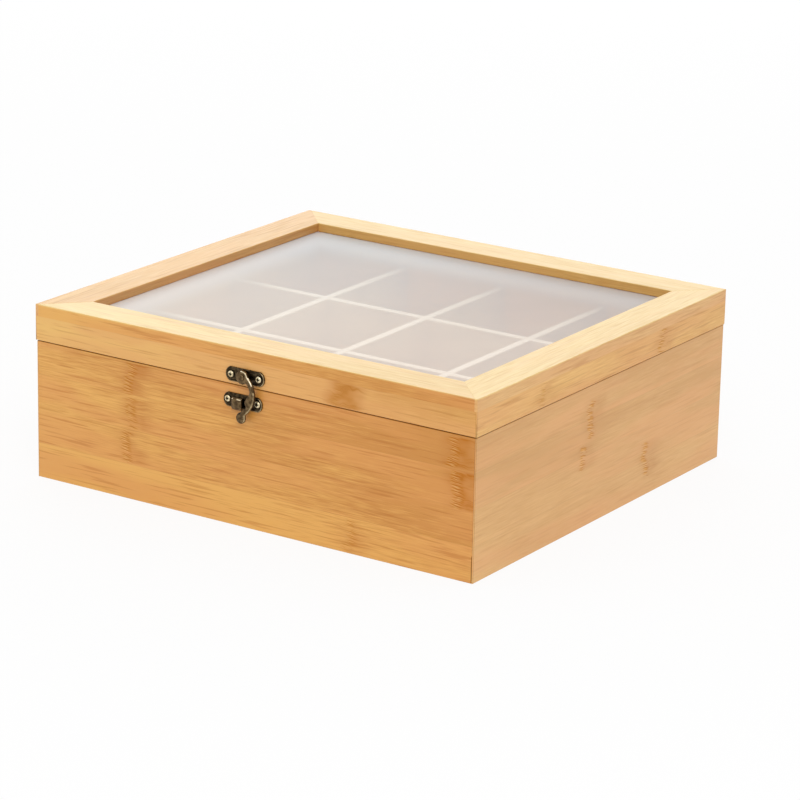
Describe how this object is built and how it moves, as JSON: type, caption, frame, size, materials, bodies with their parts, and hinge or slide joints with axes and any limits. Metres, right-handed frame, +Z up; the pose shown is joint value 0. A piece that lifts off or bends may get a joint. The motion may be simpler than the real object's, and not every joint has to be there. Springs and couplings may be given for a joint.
{
  "type": "tea bag organizer box",
  "caption": "Low bamboo box with a grid of open compartments under a hinged lid that has a clear window, a mitred frame and a swing-hook latch.",
  "frame": {"origin": "centre of the flat underside, in line with the middle of the closed lid", "axes": "+X to the right seen from the front, +Y to the hinged back, +Z up; the latch is on the -Y face"},
  "size_m": [0.288, 0.2735, 0.1],
  "materials": {
    "bamboo_body": "satin clear lacquer on honey bamboo",
    "bamboo_rim": "satin clear lacquer on honey bamboo, slightly paler",
    "bamboo_frame": "satin clear lacquer on pale bamboo",
    "bamboo_inside": "unlacquered pale bamboo",
    "clear_acrylic": "clear, smooth, slightly hazy",
    "antique_bronze": "dark antique bronze plating, rubbed on the edges",
    "worn_brass": "brassed steel, rubbed bright"
  },
  "bodies": {
    "box": {"front_wall": "bamboo_body", "back_wall": "bamboo_body", "left_wall": "bamboo_body", "right_wall": "bamboo_body", "bottom_panel": "bamboo_inside", "long_divider_front": "bamboo_inside", "long_divider_rear": "bamboo_inside", "cross_divider_left": "bamboo_inside", "cross_divider_middle": "bamboo_inside", "cross_divider_right": "bamboo_inside", "catch_plate": "antique_bronze", "catch_plate_screws": "worn_brass", "hinge_left_body_leaf": "antique_bronze", "hinge_right_body_leaf": "antique_bronze", "hinge_left_pin": "worn_brass", "hinge_right_pin": "worn_brass", "hinge_body_screws": "worn_brass"},
    "lid": {"lid_rim_front": "bamboo_rim", "lid_rim_back": "bamboo_rim", "lid_rim_left": "bamboo_rim", "lid_rim_right": "bamboo_rim", "lid_frame_front": "bamboo_frame", "lid_frame_back": "bamboo_frame", "lid_frame_left": "bamboo_frame", "lid_frame_right": "bamboo_frame", "window_pane": "clear_acrylic", "latch_plate": "antique_bronze", "latch_plate_screws": "worn_brass", "latch_rivet": "antique_bronze", "hinge_left_lid_leaf": "antique_bronze", "hinge_right_lid_leaf": "antique_bronze", "hinge_lid_screws": "worn_brass"},
    "hook": {"swing_hook": "antique_bronze"}
  },
  "joints": [
    {"name": "lid_hinge", "type": "hinge", "parent": "box", "child": "lid", "pos_m": [0, 0.1332, 0.0792], "axis": [-1, 0, 0], "range_deg": [0, 105]},
    {"name": "hook_swing", "type": "hinge", "parent": "lid", "child": "hook", "pos_m": [-0.0017, -0.1305, 0.0851], "axis": [0, -1, 0], "range_deg": [0, 110]}
  ]
}
